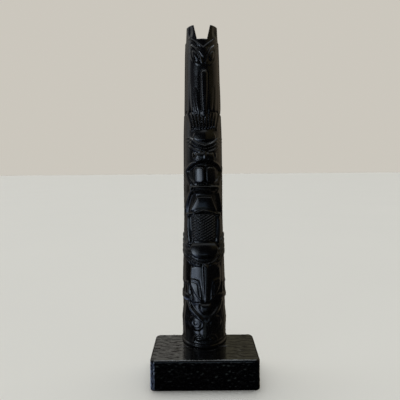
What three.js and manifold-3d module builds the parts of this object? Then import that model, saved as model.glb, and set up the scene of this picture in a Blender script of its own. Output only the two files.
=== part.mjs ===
// A table-top totem pole, moulded in black resin, standing on a block base.
//
// The pole is half round: a carved front that tapers upwards, and a flat plain back. From the top down
// it carries a long-billed bird with upright ears, folded wings and a fanned tail; a beaver with two
// big teeth, a stick in its paws and its scaled tail turned up in front; a hawk with folded wings; and
// a broad bear face at the foot.
//
// Millimetres, +Z up. The front faces -Y, and the origin is the centre of the base's underside.
// Carving is laid out on the pole's unrolled skin: u runs across it from the front's centre line, z is
// the height above the base, and every form stands out of the skin, or is cut into it, square to it.

import * as THREE from "three";
import { mergeVertices } from "three/addons/utils/BufferGeometryUtils.js";
import Module from "manifold-3d";

const wasm = await Module();
wasm.setup();

// ---------------------------------------------------------------- driving dimensions

const base = { width: 88, depth: 46, height: 24, corner: 4.5, edge: 1.8, gap: 0.3 };

const pole = {
  headTop: 264, // top of the bird's head, between the ears; the last of the girth's stations
  earTop: 276.8,
  footHalfWidth: 19.5,
  taper: 0.0187, // half width lost for each millimetre of height
  depthRatio: 1.1, // front depth over half width
  widestY: 18.6, // where the section is widest
  backY: 21.4,
  backCorner: 2.2,
  footFlare: 0.7,
  skinRadius: 18, // u is this radius times the angle round the front
};

// How far the figures stand proud of the plain taper: [height, in front, at the sides], in millimetres.
const girth = [
  [2, 0.9, -0.2], [9, 1.0, -0.2], [20, 1.0, 0.4], [29, 0.8, -0.4], [37.2, 0.3, -0.3], [38, 1.3, 0.3],
  [43, 1.2, 0.3], [44.2, 1.2, -0.5], [50.6, 1.1, -0.5], [52, 1.0, 0.1], [70, 0.4, -0.1], [79, 1.8, -0.3],
  [87, 1.3, -0.3], [88.4, 0.2, -0.4], [108, 0.2, -0.5], [131, 0.2, 0], [138, 1.3, 0.2], [176, 1.5, 0.7],
  [186, 0.5, 0.7], [199, 0.7, 0.5], [200, 1.2, 0.2], [232, 0.8, 0.3], [252, 1.3, 0.3], [264, 0.8, 0.1],
];

const sink = 2.4; // how far a raised form reaches into the pole, deeper than any recess
const clear = 6; // how far a cutting form reaches out of it

const black = new THREE.MeshStandardMaterial({ color: 0x0b0b0d, roughness: 0.24, metalness: 0 });
const blackHammered = new THREE.MeshStandardMaterial({ color: 0x0a0b0a, roughness: 0.2, metalness: 0 });

// ---------------------------------------------------------------- the pole's skin

const { lerp, clamp, degToRad } = THREE.MathUtils;

// The girth's front and side values at a height, straight between its stations.
function girthAt(z) {
  const next = girth.findIndex(([height]) => height > z);
  if (next < 0) return girth.at(-1).slice(1);
  if (next === 0) return girth[0].slice(1);
  const [low, high] = [girth[next - 1], girth[next]];
  const share = (z - low[0]) / (high[0] - low[0]);
  return [1, 2].map((k) => lerp(low[k], high[k], share));
}

const halfWidth = (z) => pole.footHalfWidth - pole.taper * z;

// The point at u and z, raised by h square to the skin. The widest place is a quarter turn round.
function onSkin(u, z, h = 0) {
  const angle = clamp(u / pole.skinRadius, -Math.PI / 2, Math.PI / 2);
  const a = halfWidth(z);
  const b = a * pole.depthRatio;
  const out = new THREE.Vector2(Math.sin(angle) / a, -Math.cos(angle) / b).normalize();
  const [front, side] = girthAt(z);
  const raise = h + front * Math.cos(angle) ** 2 + side * Math.sin(angle) ** 2;
  return new THREE.Vector3(
    a * Math.sin(angle) + out.x * raise,
    pole.widestY - b * Math.cos(angle) + out.y * raise,
    z,
  );
}

// ---------------------------------------------------------------- solids from points

// A stack of equal rings, with each end closed by a fan about its middle or about the point given.
function solidOfRings(rings, crown) {
  const count = rings[0].length;
  const middle = (ring) => ring.reduce((sum, p) => sum.add(p), new THREE.Vector3()).divideScalar(count);
  const points = [...rings.flat(), middle(rings[0]), crown ?? middle(rings.at(-1))];
  const foot = points.length - 2;
  const top = points.length - 1;
  const faces = [];
  for (let i = 0; i < count; i++) {
    const j = (i + 1) % count;
    const last = (rings.length - 1) * count;
    faces.push([foot, j, i], [top, last + i, last + j]);
    for (let low = 0; low < last; low += count) {
      const high = low + count;
      faces.push([low + i, low + j, high + j], [low + i, high + j, high + i]);
    }
  }
  return solidOfFaces(points, faces);
}

// Two grids of points, one over the other, joined by walls all round.
function solidOfGrids(lower, upper) {
  const rows = lower.length;
  const columns = lower[0].length;
  const points = [...lower.flat(), ...upper.flat()];
  const low = (r, c) => r * columns + c;
  const high = (r, c) => rows * columns + r * columns + c;
  const faces = [];
  const quad = (a, b, c, d) => faces.push([a, b, c], [a, c, d]);
  for (let r = 0; r < rows - 1; r++) {
    for (let c = 0; c < columns - 1; c++) {
      quad(low(r, c), low(r + 1, c), low(r + 1, c + 1), low(r, c + 1));
      quad(high(r, c), high(r, c + 1), high(r + 1, c + 1), high(r + 1, c));
    }
    quad(low(r, 0), high(r, 0), high(r + 1, 0), low(r + 1, 0));
    quad(low(r + 1, columns - 1), high(r + 1, columns - 1), high(r, columns - 1), low(r, columns - 1));
  }
  for (let c = 0; c < columns - 1; c++) {
    quad(low(0, c + 1), high(0, c + 1), high(0, c), low(0, c));
    quad(low(rows - 1, c), high(rows - 1, c), high(rows - 1, c + 1), low(rows - 1, c + 1));
  }
  return solidOfFaces(points, faces);
}

function solidOfFaces(points, faces) {
  const signed = (sum, [a, b, c]) =>
    sum + new THREE.Vector3().crossVectors(points[a], points[b]).dot(points[c]);
  const outward = faces.reduce(signed, 0) > 0;
  const geometry = new THREE.BufferGeometry().setFromPoints(points);
  geometry.setIndex(faces.flatMap(([a, b, c]) => (outward ? [a, b, c] : [a, c, b])));
  const merged = mergeVertices(geometry, 1e-5);
  return new wasm.Manifold(
    new wasm.Mesh({
      numProp: 3,
      vertProperties: merged.attributes.position.array,
      triVerts: new Uint32Array(merged.index.array),
    }),
  );
}

function geometryOf(solid) {
  const mesh = solid.getMesh();
  const geometry = new THREE.BufferGeometry();
  geometry.setAttribute("position", new THREE.BufferAttribute(new Float32Array(mesh.vertProperties), 3));
  geometry.setIndex(new THREE.BufferAttribute(new Uint32Array(mesh.triVerts), 1));
  geometry.computeVertexNormals();
  return geometry;
}

const join = (solids) => solids.reduce((whole, solid) => whole.add(solid));

// ---------------------------------------------------------------- carving forms

// A value that may be a number or a function of how far along a form it is, from 0 to 1.
const at = (value, t) => (typeof value === "function" ? value(t) : value);

// Places along a smooth line through [u, z] points, each with the direction across the line.
function along(points, pieces) {
  const line = new THREE.SplineCurve(points.map(([u, z]) => new THREE.Vector2(u, z)));
  return Array.from({ length: pieces + 1 }, (_, i) => {
    const place = line.getPointAt(i / pieces);
    const across = line.getTangentAt(i / pieces).rotateAround(new THREE.Vector2(), Math.PI / 2);
    const beside = (distance, h) => onSkin(place.x + across.x * distance, place.y + across.y * distance, h);
    return { beside, t: i / pieces };
  });
}

// A raised band with sloping sides. Its crown is a share of its width, or an edge if that is 0.
function band(points, { width, height, pieces = 3, crown = 0.45, ends = 0.6 }) {
  return solidOfRings(along(points, pieces).map(({ beside, t }) => {
    const end = t === 0 || t === 1 ? ends : 1;
    const half = (at(width, t) / 2) * end;
    const h = at(height, t) * end;
    const foot = half * (1 + ((1 - crown) * sink) / h);
    const top = crown > 0 ? [beside(-half * crown, h), beside(half * crown, h)] : [beside(0, h)];
    return [beside(-foot, -sink), ...top, beside(foot, -sink)];
  }));
}

// A V groove to be cut, that starts at over above the skin.
function groove(points, { width, depth, over = 0, pieces = 3 }) {
  const mouth = (width / 2) * (1 + clear / depth);
  return solidOfRings(along(points, pieces).map(({ beside }) =>
    [beside(0, over - depth), beside(mouth, over + clear), beside(-mouth, over + clear)]));
}

// A raised patch, or with a negative height a recess. Rows are [z, half width, middle u], top down.
function patch(rows, height, { columns = 4, draft = 0.5 } = {}) {
  const grid = (h) => {
    const spread = height > 0 ? draft * (height - h) : draft * h;
    return rows.map(([z, half, middle = 0], r) => {
      const lift = r === 0 ? spread : r === rows.length - 1 ? -spread : 0;
      return Array.from({ length: columns + 1 }, (_, c) =>
        onSkin(middle + (half + spread) * ((2 * c) / columns - 1), z + lift, h));
    });
  };
  return height > 0 ? solidOfGrids(grid(-sink), grid(height)) : solidOfGrids(grid(height), grid(clear));
}

// An oval that is a little square, turned by a number of degrees.
function oval(u, z, halfU, halfZ, { turn = 0, count = 12, squareness = 2.4 } = {}) {
  const power = (v) => Math.sign(v) * Math.abs(v) ** (2 / squareness);
  return Array.from({ length: count }, (_, i) => {
    const a = ((i + 0.5) / count) * 2 * Math.PI;
    const p = new THREE.Vector2(halfU * power(Math.cos(a)), halfZ * power(Math.sin(a)));
    p.rotateAround(new THREE.Vector2(), degToRad(turn));
    return [u + p.x, z + p.y];
  });
}

// An outline drawn towards its middle by a share, at height h.
function ringOf(outline, share, h) {
  const [middleU, middleZ] = middleOf(outline);
  return outline.map(([u, z]) => onSkin(lerp(middleU, u, share), lerp(middleZ, z, share), h));
}

const middleOf = (outline) => [0, 1].map((k) => outline.reduce((sum, p) => sum + p[k], 0) / outline.length);

// A small raised boss: its wall slopes in to a shoulder, and its face rises to the middle.
function boss(outline, height, { shoulder = 0.8, rise = 0.2 } = {}) {
  const low = height * (1 - rise);
  const foot = 1 + ((1 - shoulder) * sink) / low;
  const rings = [ringOf(outline, foot, -sink), ringOf(outline, shoulder, low)];
  return solidOfRings(rings, onSkin(...middleOf(outline), height));
}

// A small hollow, to be cut, that starts at over above the skin.
function hollow(outline, depth, { floor = 0.7, over = 0 } = {}) {
  const mouth = 1 + ((1 - floor) * clear) / depth;
  return solidOfRings([ringOf(outline, mouth, over + clear), ringOf(outline, floor, over - depth)]);
}

// A form and its mirror image across the centre line.
const pair = (make) => [make(1), make(-1)];
const flip = (points, side) => points.map(([u, z]) => [u * side, z]);

// ---------------------------------------------------------------- the plain pole

function plainPole() {
  const frontPieces = 16;
  const quarter = (Math.PI / 2) * pole.skinRadius;
  const ring = (z, grow = 0) => {
    const front = Array.from({ length: frontPieces + 1 }, (_, i) =>
      onSkin(lerp(-quarter, quarter, i / frontPieces), z, grow));
    const a = front.at(-1).x;
    const r = pole.backCorner;
    const back = [[a - r * 0.3, pole.backY - r * 0.3], [a - r, pole.backY]];
    const mirrored = back.map(([x, y]) => [-x, y]).reverse();
    return [...front, ...[...back, ...mirrored].map(([x, y]) => new THREE.Vector3(x, y, z))];
  };
  return solidOfRings([
    ring(0), ring(0.5, pole.footFlare), ring(1.3, pole.footFlare),
    ...girth.map(([z]) => ring(z)),
  ]);
}

// ---------------------------------------------------------------- the long-billed bird

const ear = { innerFoot: 5.3, innerTip: 9.2, outerFoot: 22.4, outerTip: 20.4, thick: 6.2, root: 4 };

// Two ears that run straight back from the head's front, so that the notch between them is open.
function birdEars() {
  const columns = 3;
  return pair((side) => {
    const ring = (z, close) => {
      const share = clamp((z - pole.headTop) / (pole.earTop - pole.headTop), 0, 1);
      const inner = lerp(ear.innerFoot, ear.innerTip, share) + close;
      const outer = lerp(ear.outerFoot, ear.outerTip, share) - close;
      const front = Array.from({ length: columns + 1 }, (_, i) =>
        onSkin(side * lerp(inner, outer, i / columns), z));
      const setBack = (distance) => front.map((p) => p.clone().setY(p.y + distance));
      return [...setBack(close * 0.6), ...setBack(ear.thick - close * 0.6).reverse()];
    };
    return solidOfRings([
      ring(pole.headTop - ear.root, 0), ring(pole.earTop - 2.2, 0),
      ring(pole.earTop - 0.7, 0.5), ring(pole.earTop, 1.6),
    ]);
  });
}

const birdEarHollows = () => pair((side) =>
  hollow(oval(side * 14.3, 270.6, 3.9, 5.2, { turn: side * -8, count: 8 }), 1.6, { floor: 0.5 }));

function birdHead() {
  return [
    ...pair((side) => band(flip([[14.5, 265.4], [7.5, 261], [-0.6, 255.8]], side),
      { width: 2.4, height: 1.2 })),
    patch([[257, 5.4], [253.4, 4.4], [248.4, 0.5]], 1.2, { columns: 2 }),
    ...pair((side) => band(flip([[12.4, 258.6], [7.4, 254.6], [3.8, 248.6], [1.7, 242.6]], side),
      { width: 1.8, height: 1.5, crown: 0 })),
    ...pair((side) => boss(oval(side * 8.7, 249.6, 5.2, 2.5, { turn: side * 58, count: 10 }), 1.5)),
    ...pair((side) => band(flip([[14, 253], [10.8, 245.2], [3.2, 239.8]], side),
      { width: 1.8, height: 0.9, pieces: 2, crown: 0 })),
    ...pair((side) => boss(oval(side * 1.5, 234.8, 1.2, 1.0, { count: 6 }), 1.1)),
  ];
}

const bill = { top: 232.4, tip: 197.4, halfTop: 3.5, halfTip: 1.1, rise: 3.0 };

function birdBill() {
  const middle = (bill.top + bill.tip) / 2;
  return [band([[0, bill.top], [0, middle], [0, bill.tip]], {
    width: (t) => 2 * lerp(bill.halfTop, bill.halfTip, t),
    height: (t) => lerp(bill.rise, bill.rise * 0.6, t),
    pieces: 4,
    ends: 0.75,
  })];
}

const wing = { count: 5, top: 229, tip: 201, innerTop: 8.6, outerTop: 22.8, innerTip: 5.4, outerTip: 20.6 };

// Long feathers that hang from the shoulder and lie side by side down to the tail.
function birdWings() {
  return Array.from({ length: wing.count }, (_, i) => {
    const share = i / (wing.count - 1);
    const top = [lerp(wing.innerTop, wing.outerTop, share), wing.top - 9 * (1 - share) ** 1.4];
    const tip = [lerp(wing.innerTip, wing.outerTip, share), wing.tip];
    const bend = [lerp(top[0], tip[0], 0.35), lerp(top[1], tip[1], 0.5)];
    return pair((side) => band(flip([top, bend, tip], side),
      { width: 3.6, height: 1.0, pieces: 2, crown: 0, ends: 0.8 }));
  }).flat();
}

const fan = { top: 199.6, bottom: 187, halfTop: 14.2, halfBottom: 10.8, blades: 8 };

function birdTail() {
  const blades = Array.from({ length: fan.blades }, (_, i) => {
    const share = (2 * (i + 0.5)) / fan.blades - 1;
    const low = fan.bottom + 1.2 * share * share - 0.8;
    return band([[share * fan.halfTop, fan.top], [share * fan.halfBottom, low]],
      { width: 2.6, height: 1.3, pieces: 1, ends: 0.9 });
  });
  const edges = pair((side) => band(flip([[17.6, 200.4], [14.4, 193], [12.4, 185.4]], side),
    { width: 1.8, height: 1.2, pieces: 2, crown: 0 }));
  return [...blades, ...edges];
}

// ---------------------------------------------------------------- the beaver

function beaverFace() {
  return [
    patch([[185.2, 8.6], [181, 11], [177.4, 11]], 0.9, { columns: 3, draft: 0.8 }),
    ...pair((side) => band(flip([[11.6, 179], [6, 176.6], [-0.5, 174.4]], side),
      { width: 2.6, height: 1.9, pieces: 2 })),
    ...pair((side) => band(flip([[11.4, 175], [6, 172.2], [0, 170.4]], side),
      { width: 1.6, height: 1.6, pieces: 2, crown: 0 })),
    ...pair((side) => band(flip([[12.8, 172], [7.4, 169.2], [3.2, 167.8]], side),
      { width: 1.7, height: 1.1, pieces: 2, crown: 0 })),
    patch([[166.6, 7.6], [162.6, 9.6], [158.4, 8.6]], 1.1, { columns: 3, draft: 0.7 }),
    band([[0, 167], [0, 160.6]], { width: 2.2, height: 2.6, pieces: 2, ends: 0.7 }),
    ...pair((side) => boss(oval(side * 4.6, 164.2, 2.7, 1.9, { turn: side * -8, count: 6 }), 2.4)),
    ...pair((side) => band(flip([[10.6, 164.8], [9.6, 160.6], [6.4, 158.4], [3.2, 159.4]], side),
      { width: 1.7, height: 2.2, crown: 0 })),
    ...pair((side) => band(flip([[25, 178.2], [12.6, 178.5]], side),
      { width: 1.4, height: 0.6, pieces: 2, crown: 0 })),
  ];
}

const mouth = [
  [157.2, 3], [155, 9.6], [152.4, 14.4], [149.6, 18.4], [146, 16.6], [142.4, 13.6], [139.6, 9.4], [137.8, 4],
];
const tooth = { half: 4.7, top: 156, bottom: 139.3, rise: 3.1 };

function beaverTeeth() {
  const middle = (tooth.top + tooth.bottom) / 2;
  const halfZ = (tooth.top - tooth.bottom) / 2;
  const teeth = pair((side) => boss(
    oval(side * (tooth.half + 0.1), middle, tooth.half, halfZ, { squareness: 3.4, count: 10 }),
    tooth.rise, { shoulder: 0.84, rise: 0.12 }));
  const lowerLip = pair((side) => band(flip([[20, 149.4], [15.6, 142.4], [9.6, 138], [0, 136.9]], side),
    { width: 1.8, height: 1.3, crown: 0, ends: 0.9 }));
  const upperLip = pair((side) => band(flip([[20, 150.4], [12.6, 155.6], [6, 158], [0, 158.8]], side),
    { width: 1.5, height: 0.9, crown: 0, ends: 0.9 }));
  return [...teeth, ...lowerLip, ...upperLip];
}

const lap = [[131.2, 13], [126, 15.6], [119.4, 18], [112.6, 19.6]];
const chest = [[127.4, 5.8], [121.2, 9], [115, 12]];

const arm = [
  [24.4, 153], [18.6, 144.4], [14.6, 138.4], [12.8, 133.8], [15.2, 128.6], [21.4, 114.4], [22.4, 107],
];

function beaverBody() {
  return [
    band([[-10.8, 132.7], [0, 132.7], [10.8, 132.7]], { width: 2.4, height: 2.3, pieces: 4, ends: 0.8 }),
    ...pair((side) => boss(oval(side * 11.4, 131, 1.9, 2.6, { turn: side * 20, count: 8 }), 2.4)),
    ...pair((side) => band(flip(arm, side), { width: 1.6, height: 1.1, pieces: 5, crown: 0 })),
    patch(chest, 0.9, { columns: 3, draft: 0.4 }),
    ...pair((side) => band(flip([[12.8, 112.6], [6, 114.6], [-0.4, 116]], side),
      { width: 2.3, height: 2.0, pieces: 2 })),
  ];
}

const scales = { top: 113.6, bottom: 89.6, half: 11.2, corner: 5.4, rise: 1.4 };

// The tail's outline goes straight down from its shoulders and is round at its lower corners.
function scaledTail() {
  const round = [0, 30, 60].map((degrees) => {
    const a = degToRad(degrees);
    const { bottom, corner, half } = scales;
    return [bottom + corner * (1 - Math.sin(a)), half - corner * (1 - Math.cos(a))];
  });
  return patch([[scales.top, scales.half - 0.6], [108, scales.half], [101, scales.half], ...round,
    [scales.bottom, scales.half - scales.corner * 0.9]], scales.rise, { draft: 0.3 });
}

function beaverLegs() {
  const shins = pair((side) => band(flip([[14.6, 111], [14.6, 101], [13.4, 89]], side),
    { width: (t) => 3 + 0.8 * t, height: 1.9, ends: 0.7 }));
  const knees = pair((side) => boss(oval(side * 14.5, 111.6, 2.4, 2.5, { count: 8 }), 2.6));
  return [...shins, ...knees];
}

// Toes that come round from the sides, one below the other.
function beaverFeet() {
  const toes = 4;
  const spacing = 4.6;
  return Array.from({ length: toes }, (_, i) => {
    const top = 93.6 - i * spacing;
    return pair((side) => band(flip([[25.2, top], [19.4, top - 3.6], [13, top - 8.2]], side),
      { width: 3.2, height: 1.0, pieces: 2, crown: 0, ends: 0.7 }));
  }).flat();
}

// ---------------------------------------------------------------- the hawk

function hawkHead() {
  return [
    patch([[87.2, 10.6], [83, 12], [78, 9.8], [73, 3]], 1.2),
    ...pair((side) => band(flip([[14, 81.4], [9, 76.4], [4.4, 74], [-0.3, 73]], side),
      { width: 1.9, height: 2.0, crown: 0, ends: 0.8 })),
    ...pair((side) => band(flip([[15.2, 78.4], [9.8, 73.6], [5, 71.4], [-0.3, 70.8]], side),
      { width: 1.5, height: 1.4, crown: 0, ends: 0.8 })),
    ...pair((side) => boss(oval(side * 6.6, 69.8, 3.6, 1.0, { turn: side * 12, count: 6 }), 1.0)),
  ];
}

const hawkWing = [
  [5.4, 56.4], [9.4, 57.8], [12.6, 56.8], [13, 51.4], [9.8, 46.2], [6.4, 41.8], [3.2, 39.2], [3.8, 48],
];

function hawkBody() {
  return [
    patch([[67.6, 12.8], [60, 13.4], [52, 12.6], [45, 8.6], [39.4, 3.6]], 0.9, { draft: 0.6 }),
    band([[0, 68.2], [0, 54], [0, 39.4]], { width: (t) => 4.8 - 2.2 * t, height: 2.2, crown: 0.2 }),
    ...pair((side) => boss(flip(hawkWing, side), 1.9, { rise: 0.05 })),
  ];
}

const hawkWingGrooves = () => pair((side) =>
  groove(flip([[11.6, 55.4], [7, 54.2], [5.6, 49], [4.6, 43]], side),
    { width: 1.1, depth: 0.8, over: 1.8, pieces: 4 }));

function hawkFeet() {
  const claws = [15.4, 18.6, 21.8];
  return pair((side) => [
    patch([[44, 5.4, 17.6 * side], [38.6, 6, 17.6 * side]], 0.8, { columns: 3, draft: 0.4 }),
    ...claws.map((u) => band(flip([[u + 0.8, 52.6], [u - 0.4, 44.6]], side),
      { width: 2.5, height: 1.2, pieces: 1, crown: 0 })),
  ]).flat();
}

// ---------------------------------------------------------------- the bear face at the foot

const eye = { u: 7.3, z: 20, halfU: 6.3, halfZ: 5.3, turn: 16 };

function bearFace() {
  return [
    patch([[37.6, 5.2], [32.6, 5.2], [29.6, 3.4], [28, 1.2]], 1.9, { columns: 3, draft: 0.6 }),
    ...pair((side) => band(flip([[14.2, 36.6], [12, 32.2], [8, 28], [1.2, 21.6]], side),
      { width: (t) => 3.7 - 1.5 * t, height: 2.0 })),
    ...pair((side) => boss(oval(side * eye.u, eye.z, eye.halfU, eye.halfZ, { turn: side * eye.turn }),
      1.2, { shoulder: 0.9, rise: 0 })),
    band([[0, 22.4], [0, 8.6]],
      { width: (t) => 2.8 + 3.2 * t, height: (t) => 1.2 + t, pieces: 2, ends: 0.9 }),
    ...pair((side) => band(flip([[8.9, 4.8], [8, 8.8], [4.8, 10.6], [1.8, 9.2]], side),
      { width: 2.0, height: 1.9, crown: 0 })),
    ...pair((side) => boss(oval(side * 4.9, 6.8, 2.4, 2.0, { count: 6 }), 1.1)),
    band([[-17, 4.2], [0, 3.6], [17, 4.2]], { width: 1.8, height: 1.1, pieces: 4, crown: 0 }),
    ...pair((side) => band(flip([[17.6, 35.6], [19.2, 22], [17.2, 5.4]], side),
      { width: 1.8, height: 0.9, crown: 0 })),
  ];
}

const bearEyeHollows = () => pair((side) =>
  hollow(oval(side * eye.u, eye.z, eye.halfU * 0.82, eye.halfZ * 0.8, { turn: side * eye.turn, count: 10 }),
    1.0, { floor: 0.85, over: 1.1 }));

const bearPupils = () => pair((side) =>
  boss(oval(side * (eye.u + 0.4), eye.z + 0.2, 3.3, 2.7, { turn: side * eye.turn, count: 8 }),
    1.3, { shoulder: 0.75 }));

// ---------------------------------------------------------------- putting it together

function carvedPole() {
  const recesses = [patch(mouth, -1.9, { columns: 6 }), patch(lap, -1.8)];
  const raised = [
    ...birdEars(), ...birdHead(), ...birdBill(), ...birdWings(), ...birdTail(),
    ...beaverFace(), ...beaverTeeth(), ...beaverBody(), scaledTail(), ...beaverLegs(), ...beaverFeet(),
    ...hawkHead(), ...hawkBody(), ...hawkFeet(), ...bearFace(),
  ];
  const cuts = [...birdEarHollows(), ...hawkWingGrooves(), ...bearEyeHollows()];
  return join([plainPole().subtract(join(recesses)), ...raised])
    .subtract(join(cuts))
    .add(join(bearPupils()));
}

// A block with round upright corners, a small round along the top edge and a flat underside.
function baseBlock() {
  const cornerPieces = 3;
  const edgePieces = 2;
  const outline = (inset, z) => {
    const r = base.corner - inset;
    return [[1, 1], [-1, 1], [-1, -1], [1, -1]].flatMap(([sx, sy], k) =>
      Array.from({ length: cornerPieces + 1 }, (_, i) => {
        const a = (k + i / cornerPieces) * (Math.PI / 2);
        return new THREE.Vector3(
          sx * (base.width / 2 - base.corner) + r * Math.cos(a),
          sy * (base.depth / 2 - base.corner) + r * Math.sin(a),
          z,
        );
      }));
  };
  const topEdge = Array.from({ length: edgePieces + 1 }, (_, i) => {
    const a = (i / edgePieces) * (Math.PI / 2);
    return outline(base.edge * (1 - Math.cos(a)), base.height - base.edge * (1 - Math.sin(a)));
  });
  return solidOfRings([outline(0.5, 0), outline(0, 0.6), ...topEdge]);
}

function named(name, solid, material) {
  const mesh = new THREE.Mesh(geometryOf(solid), material);
  mesh.name = name;
  return mesh;
}

const totem = new THREE.Group();
const standing = new THREE.Group();
standing.position.z = base.height + base.gap;
standing.add(named("totem_pole", carvedPole(), black));
totem.add(named("base", baseBlock(), blackHammered), standing);

export default totem;
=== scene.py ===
# A table-top totem pole moulded in glossy black resin, on a hammered block base.
import math
import bpy
import numpy as np
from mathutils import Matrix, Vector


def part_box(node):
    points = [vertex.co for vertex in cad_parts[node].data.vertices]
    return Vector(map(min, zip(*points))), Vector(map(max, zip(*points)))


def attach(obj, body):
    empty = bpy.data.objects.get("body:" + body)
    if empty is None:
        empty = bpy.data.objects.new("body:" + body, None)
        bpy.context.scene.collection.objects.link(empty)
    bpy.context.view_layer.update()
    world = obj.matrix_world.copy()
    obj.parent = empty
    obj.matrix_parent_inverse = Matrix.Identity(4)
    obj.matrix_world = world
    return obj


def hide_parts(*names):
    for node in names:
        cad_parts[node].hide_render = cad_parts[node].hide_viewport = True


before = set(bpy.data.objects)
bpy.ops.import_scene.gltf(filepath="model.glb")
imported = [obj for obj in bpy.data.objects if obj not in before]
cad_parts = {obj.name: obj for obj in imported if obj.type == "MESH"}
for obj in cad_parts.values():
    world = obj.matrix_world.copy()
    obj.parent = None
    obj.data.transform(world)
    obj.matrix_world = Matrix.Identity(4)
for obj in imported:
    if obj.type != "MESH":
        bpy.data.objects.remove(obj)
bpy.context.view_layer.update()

mm = 0.001
poleLow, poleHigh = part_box("totem_pole")
baseLow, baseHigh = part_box("base")
footHeight = poleLow[2] / mm  # the pole's own heights are measured from its foot


# A socket that adds a Math node when it is used in an expression, so that 1 - mask works.
class Wire:
    def __init__(self, sheet, socket):
        self.sheet, self.socket = sheet, socket

    def run(self, operation, *values):
        return self.sheet.add("ShaderNodeMath", {"operation": operation}, dict(enumerate(values)))

    def __add__(self, other):
        return self.run("ADD", self, other)

    def __radd__(self, other):
        return self.run("ADD", other, self)

    def __sub__(self, other):
        return self.run("SUBTRACT", self, other)

    def __rsub__(self, other):
        return self.run("SUBTRACT", other, self)

    def __mul__(self, other):
        return self.run("MULTIPLY", self, other)

    def __rmul__(self, other):
        return self.run("MULTIPLY", other, self)


# One node tree, with a single method for every kind of node.
class Sheet:
    def __init__(self, tree):
        self.tree = tree
        tree.nodes.clear()

    # Adds a node: its settings first, then the values or links of its sockets, by name or place.
    def add(self, kind, settings=None, sockets=None, out=0):
        node = self.tree.nodes.new(kind)
        for key, value in (settings or {}).items():
            setattr(node, key, value)
        for key, value in (sockets or {}).items():
            if isinstance(value, Wire):
                self.tree.links.new(value.socket, node.inputs[key])
            else:
                node.inputs[key].default_value = value
        if node.outputs:
            return Wire(self, node.outputs[out])

    # A noise pattern; more gives its other sockets by name.
    def noise(self, place, scale, detail, **more):
        values = {"Vector": place, "Scale": scale, "Detail": detail, "Roughness": 0.55, **more}
        return self.add("ShaderNodeTexNoise", {}, values)

    # Stretches a pattern by giving each axis its own scale.
    def stretched(self, place, scale):
        return self.add("ShaderNodeMapping", {}, {"Vector": place, "Scale": scale})

    # Turns a value between low and high into a soft step from 0 to 1.
    def step(self, value, low, high):
        settings = {"interpolation_type": "SMOOTHSTEP"}
        return self.add("ShaderNodeMapRange", settings, {"Value": value, "From Min": low, "From Max": high})

    # 1 where a value is between low and high, with a soft step up at the one and down at the other.
    def within(self, value, low, high, soft):
        rise, fall = self.step(value, low - soft, low + soft), self.step(value, high - soft, high + soft)
        return rise * (1 - fall)

    # The colour that lies a share of the way from first to second.
    def blend(self, share, first, second):
        settings = {"data_type": "RGBA"}
        return self.add("ShaderNodeMix", settings, {0: share, 6: first, 7: second}, out=2)

    # A number that the mesh keeps on its points.
    def attribute(self, name):
        return self.add("ShaderNodeAttribute", {"attribute_name": name}, out=2)


def newMaterial(name):
    material = bpy.data.materials.new(name)
    material.use_nodes = True
    return material, Sheet(material.node_tree)


def newObject(name, data):
    made = bpy.data.objects.new(name, data)
    bpy.context.scene.collection.objects.link(made)
    return made


# A closed skin from a grid of points: rows run up the piece and columns run round it, and the
# first and last rows are closed by fans about their own middles. Each of values becomes a number
# on the points for the materials, and edges that turn by more than sharp degrees look sharp.
def wrapped(name, grid, values, sharp):
    rows, columns = grid.shape[:2]
    index = np.arange(rows * columns).reshape(rows, columns)
    around = np.roll(index, -1, axis=1)
    quads = np.stack([index[:-1], around[:-1], around[1:], index[1:]], axis=-1).reshape(-1, 4)
    low, high = rows * columns, rows * columns + 1
    footFan = np.stack([np.full(columns, low), around[0], index[0]], axis=-1)
    topFan = np.stack([np.full(columns, high), index[-1], around[-1]], axis=-1)
    faces = quads.tolist() + footFan.tolist() + topFan.tolist()
    middles = np.array([grid[0].mean(axis=0), grid[-1].mean(axis=0)])
    points = np.concatenate([grid.reshape(-1, 3), middles]) * mm
    mesh = bpy.data.meshes.new(name)
    mesh.from_pydata(points.tolist(), [], faces)
    for key, field in values.items():
        flat = np.concatenate([field.ravel(), [field[0].mean(), field[-1].mean()]])
        mesh.attributes.new(key, "FLOAT", "POINT").data.foreach_set("value", flat.astype(np.float32))
    mesh.polygons.foreach_set("use_smooth", np.ones(len(mesh.polygons), bool))
    mesh.set_sharp_from_angle(angle=math.radians(sharp))
    mesh.validate()
    return newObject(name, mesh)


# A soft step from 0 to 1 as x goes from low to high.
def smooth(x, low=0.0, high=1.0):
    t = np.clip((x - low) / (high - low), 0, 1)
    return t * t * (3 - 2 * t)


# What lies a share of the way from first to second.
def mix(first, second, share):
    return first + (second - first) * share


# The larger of two fields, with a fillet of size k where they cross.
def fillet(first, second, k):
    near = np.clip(k - np.abs(first - second), 0, None) / k
    return np.maximum(first, second) + near * near * k / 4


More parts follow.
